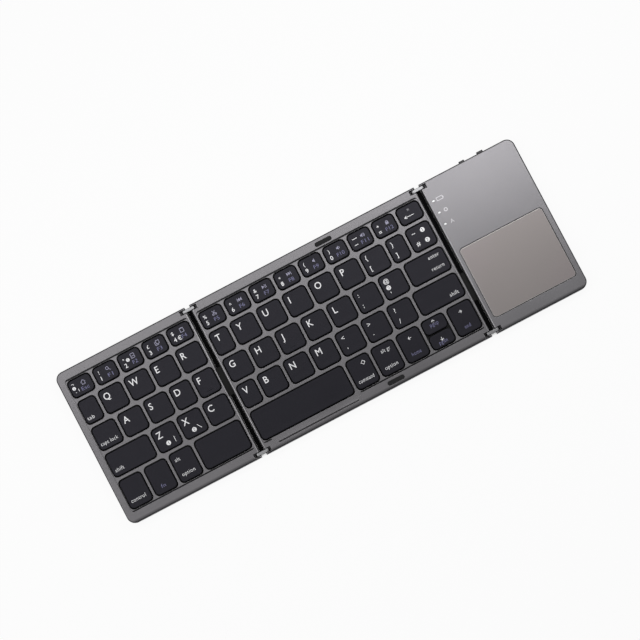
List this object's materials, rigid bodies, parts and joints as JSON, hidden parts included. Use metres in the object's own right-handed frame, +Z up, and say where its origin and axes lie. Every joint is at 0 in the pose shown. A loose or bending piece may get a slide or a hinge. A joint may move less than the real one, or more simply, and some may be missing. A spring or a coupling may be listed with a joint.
{
  "type": "folding keyboard",
  "caption": "Slim keyboard in hinged panels that fold onto the middle one, with a touchpad in the right panel.",
  "frame": {"origin": "middle of the open keyboard's footprint, at the level of its feet", "axes": "+X to the right of the typist, +Y to the rear edge, +Z up out of the keys"},
  "size_m": [0.3042, 0.1006, 0.0077],
  "materials": {
    "case_frame": "satin metallic grey",
    "bottom_cover": "fine grained grey",
    "keycap": "fine matt black with pale legends",
    "hinge_metal": "satin",
    "steel": "brushed",
    "rubber": "matt",
    "dome_rubber": "matt black",
    "scissor_plastic": "smooth dark grey",
    "touchpad_face": "satin, slightly warm grey",
    "circuit_board": "green solder mask",
    "battery_foil": "soft foil",
    "socket_metal": "plated",
    "control_black": "smooth black",
    "lamp_lens": "milky",
    "ribbon": "black film"
  },
  "bodies": {
    "middle_panel": {"middle_top_frame": "case_frame", "middle_bottom_cover": "bottom_cover", "middle_key_plate": "steel", "middle_domes": "dome_rubber", "middle_scissors": "scissor_plastic", "middle_screws": "steel", "middle_feet": "rubber", "fold_bumpers": "rubber"},
    "left_links": {"left_hinge_links": "hinge_metal", "left_spine": "control_black", "left_hinge_pins": "steel", "left_ribbon": "ribbon"},
    "left_panel": {"left_top_frame": "case_frame", "left_bottom_cover": "bottom_cover", "left_key_plate": "steel", "left_domes": "dome_rubber", "left_scissors": "scissor_plastic", "left_screws": "steel", "left_feet": "rubber"},
    "right_links": {"right_hinge_links": "hinge_metal", "right_spine": "control_black", "right_hinge_pins": "steel", "right_ribbon": "ribbon"},
    "touch_panel": {"touch_top_cover": "case_frame", "touch_bottom_cover": "bottom_cover", "touchpad": "touchpad_face", "touchpad_board": "circuit_board", "battery": "battery_foil", "main_board": "circuit_board", "charging_socket": "socket_metal", "indicator_lenses": "lamp_lens", "touch_screws": "steel", "touch_feet": "rubber"},
    "slider": {"power_slider": "control_black"},
    "button": {"pairing_button": "control_black"},
    "left_number_row": {"left_number_keys": "keycap"},
    "tab_cap": {"tab_key": "keycap"},
    "left_upper_row": {"left_upper_keys": "keycap"},
    "caps_lock_cap": {"caps_lock_key": "keycap"},
    "left_home_row": {"left_home_keys": "keycap"},
    "left_shift_cap": {"left_shift_key": "keycap"},
    "left_lower_row": {"left_lower_keys": "keycap"},
    "control_cap": {"control_key": "keycap"},
    "fn_cap": {"fn_key": "keycap"},
    "left_alt_cap": {"left_alt_key": "keycap"},
    "left_space_cap": {"left_space_key": "keycap"},
    "middle_number_row": {"middle_number_keys": "keycap"},
    "backspace_cap": {"backspace_key": "keycap"},
    "middle_upper_row": {"middle_upper_keys": "keycap"},
    "middle_home_row": {"middle_home_keys": "keycap"},
    "enter_cap": {"enter_key": "keycap"},
    "middle_lower_row": {"middle_lower_keys": "keycap"},
    "right_shift_cap": {"right_shift_key": "keycap"},
    "space_cap": {"space_key": "keycap"},
    "system_cap": {"system_key": "keycap"},
    "right_alt_cap": {"right_alt_key": "keycap"},
    "arrow_left_cap": {"arrow_left_key": "keycap"},
    "arrow_up_cap": {"arrow_up_key": "keycap"},
    "arrow_down_cap": {"arrow_down_key": "keycap"},
    "arrow_right_cap": {"arrow_right_key": "keycap"}
  },
  "joints": [
    {"name": "left_fold", "type": "hinge", "parent": "middle_panel", "child": "left_links", "pos_m": [-0.06095, 0, 0.0048], "axis": [0, 1, 0], "range_deg": [0, 90], "deforming": ["left_ribbon"]},
    {"name": "left_panel_fold", "type": "hinge", "parent": "left_links", "child": "left_panel", "pos_m": [-0.06655, 0, 0.0048], "axis": [0, 1, 0], "range_deg": [0, 90]},
    {"name": "right_fold", "type": "hinge", "parent": "middle_panel", "child": "right_links", "pos_m": [0.08634, 0, 0.0048], "axis": [0, -1, 0], "range_deg": [0, 90], "deforming": ["right_ribbon"]},
    {"name": "right_panel_fold", "type": "hinge", "parent": "right_links", "child": "touch_panel", "pos_m": [0.09194, 0, 0.0048], "axis": [0, -1, 0], "range_deg": [0, 90]},
    {"name": "power_slide", "type": "slide", "parent": "touch_panel", "child": "slider", "axis": [1, 0, 0], "range_m": [0, 0.002]},
    {"name": "pairing_press", "type": "slide", "parent": "touch_panel", "child": "button", "axis": [0, -1, 0], "range_m": [0, 0.0004], "stiffness_N_per_m": 300, "springref_m": -0.0005},
    {"name": "left_number_row_press", "type": "slide", "parent": "left_panel", "child": "left_number_row", "axis": [0, 0, -1], "range_m": [0, 0.0012], "stiffness_N_per_m": 1500, "springref_m": -0.0008, "deforming": ["left_domes", "left_scissors"]},
    {"name": "tab_press", "type": "slide", "parent": "left_panel", "child": "tab_cap", "axis": [0, 0, -1], "range_m": [0, 0.0012], "stiffness_N_per_m": 300, "springref_m": -0.0008, "deforming": ["left_domes", "left_scissors"]},
    {"name": "left_upper_row_press", "type": "slide", "parent": "left_panel", "child": "left_upper_row", "axis": [0, 0, -1], "range_m": [0, 0.0012], "stiffness_N_per_m": 1200, "springref_m": -0.0008, "deforming": ["left_domes", "left_scissors"]},
    {"name": "caps_lock_press", "type": "slide", "parent": "left_panel", "child": "caps_lock_cap", "axis": [0, 0, -1], "range_m": [0, 0.0012], "stiffness_N_per_m": 300, "springref_m": -0.0008, "deforming": ["left_domes", "left_scissors"]},
    {"name": "left_home_row_press", "type": "slide", "parent": "left_panel", "child": "left_home_row", "axis": [0, 0, -1], "range_m": [0, 0.0012], "stiffness_N_per_m": 1200, "springref_m": -0.0008, "deforming": ["left_domes", "left_scissors"]},
    {"name": "left_shift_press", "type": "slide", "parent": "left_panel", "child": "left_shift_cap", "axis": [0, 0, -1], "range_m": [0, 0.0012], "stiffness_N_per_m": 300, "springref_m": -0.0008, "deforming": ["left_domes", "left_scissors"]},
    {"name": "left_lower_row_press", "type": "slide", "parent": "left_panel", "child": "left_lower_row", "axis": [0, 0, -1], "range_m": [0, 0.0012], "stiffness_N_per_m": 900, "springref_m": -0.0008, "deforming": ["left_domes", "left_scissors"]},
    {"name": "control_press", "type": "slide", "parent": "left_panel", "child": "control_cap", "axis": [0, 0, -1], "range_m": [0, 0.0012], "stiffness_N_per_m": 300, "springref_m": -0.0008, "deforming": ["left_domes", "left_scissors"]},
    {"name": "fn_press", "type": "slide", "parent": "left_panel", "child": "fn_cap", "axis": [0, 0, -1], "range_m": [0, 0.0012], "stiffness_N_per_m": 300, "springref_m": -0.0008, "deforming": ["left_domes", "left_scissors"]},
    {"name": "left_alt_press", "type": "slide", "parent": "left_panel", "child": "left_alt_cap", "axis": [0, 0, -1], "range_m": [0, 0.0012], "stiffness_N_per_m": 300, "springref_m": -0.0008, "deforming": ["left_domes", "left_scissors"]},
    {"name": "left_space_press", "type": "slide", "parent": "left_panel", "child": "left_space_cap", "axis": [0, 0, -1], "range_m": [0, 0.0012], "stiffness_N_per_m": 300, "springref_m": -0.0008, "deforming": ["left_domes", "left_scissors"]},
    {"name": "middle_number_row_press", "type": "slide", "parent": "middle_panel", "child": "middle_number_row", "axis": [0, 0, -1], "range_m": [0, 0.0012], "stiffness_N_per_m": 2400, "springref_m": -0.0008, "deforming": ["middle_domes", "middle_scissors"]},
    {"name": "backspace_press", "type": "slide", "parent": "middle_panel", "child": "backspace_cap", "axis": [0, 0, -1], "range_m": [0, 0.0012], "stiffness_N_per_m": 300, "springref_m": -0.0008, "deforming": ["middle_domes", "middle_scissors"]},
    {"name": "middle_upper_row_press", "type": "slide", "parent": "middle_panel", "child": "middle_upper_row", "axis": [0, 0, -1], "range_m": [0, 0.0012], "stiffness_N_per_m": 2700, "springref_m": -0.0008, "deforming": ["middle_domes", "middle_scissors"]},
    {"name": "middle_home_row_press", "type": "slide", "parent": "middle_panel", "child": "middle_home_row", "axis": [0, 0, -1], "range_m": [0, 0.0012], "stiffness_N_per_m": 2100, "springref_m": -0.0008, "deforming": ["middle_domes", "middle_scissors"]},
    {"name": "enter_press", "type": "slide", "parent": "middle_panel", "child": "enter_cap", "axis": [0, 0, -1], "range_m": [0, 0.0012], "stiffness_N_per_m": 300, "springref_m": -0.0008, "deforming": ["middle_domes", "middle_scissors"]},
    {"name": "middle_lower_row_press", "type": "slide", "parent": "middle_panel", "child": "middle_lower_row", "axis": [0, 0, -1], "range_m": [0, 0.0012], "stiffness_N_per_m": 2100, "springref_m": -0.0008, "deforming": ["middle_domes", "middle_scissors"]},
    {"name": "right_shift_press", "type": "slide", "parent": "middle_panel", "child": "right_shift_cap", "axis": [0, 0, -1], "range_m": [0, 0.0012], "stiffness_N_per_m": 300, "springref_m": -0.0008, "deforming": ["middle_domes", "middle_scissors"]},
    {"name": "space_press", "type": "slide", "parent": "middle_panel", "child": "space_cap", "axis": [0, 0, -1], "range_m": [0, 0.0012], "stiffness_N_per_m": 300, "springref_m": -0.0008, "deforming": ["middle_domes", "middle_scissors"]},
    {"name": "system_press", "type": "slide", "parent": "middle_panel", "child": "system_cap", "axis": [0, 0, -1], "range_m": [0, 0.0012], "stiffness_N_per_m": 300, "springref_m": -0.0008, "deforming": ["middle_domes", "middle_scissors"]},
    {"name": "right_alt_press", "type": "slide", "parent": "middle_panel", "child": "right_alt_cap", "axis": [0, 0, -1], "range_m": [0, 0.0012], "stiffness_N_per_m": 300, "springref_m": -0.0008, "deforming": ["middle_domes", "middle_scissors"]},
    {"name": "arrow_left_press", "type": "slide", "parent": "middle_panel", "child": "arrow_left_cap", "axis": [0, 0, -1], "range_m": [0, 0.0012], "stiffness_N_per_m": 300, "springref_m": -0.0008, "deforming": ["middle_domes", "middle_scissors"]},
    {"name": "arrow_up_press", "type": "slide", "parent": "middle_panel", "child": "arrow_up_cap", "axis": [0, 0, -1], "range_m": [0, 0.0012], "stiffness_N_per_m": 300, "springref_m": -0.0008, "deforming": ["middle_domes", "middle_scissors"]},
    {"name": "arrow_down_press", "type": "slide", "parent": "middle_panel", "child": "arrow_down_cap", "axis": [0, 0, -1], "range_m": [0, 0.0012], "stiffness_N_per_m": 300, "springref_m": -0.0008, "deforming": ["middle_domes", "middle_scissors"]},
    {"name": "arrow_right_press", "type": "slide", "parent": "middle_panel", "child": "arrow_right_cap", "axis": [0, 0, -1], "range_m": [0, 0.0012], "stiffness_N_per_m": 300, "springref_m": -0.0008, "deforming": ["middle_domes", "middle_scissors"]}
  ],
  "couplings": [
    {"joint": "left_panel_fold", "follows": "left_fold", "ratio": 1},
    {"joint": "right_panel_fold", "follows": "right_fold", "ratio": 1}
  ]
}
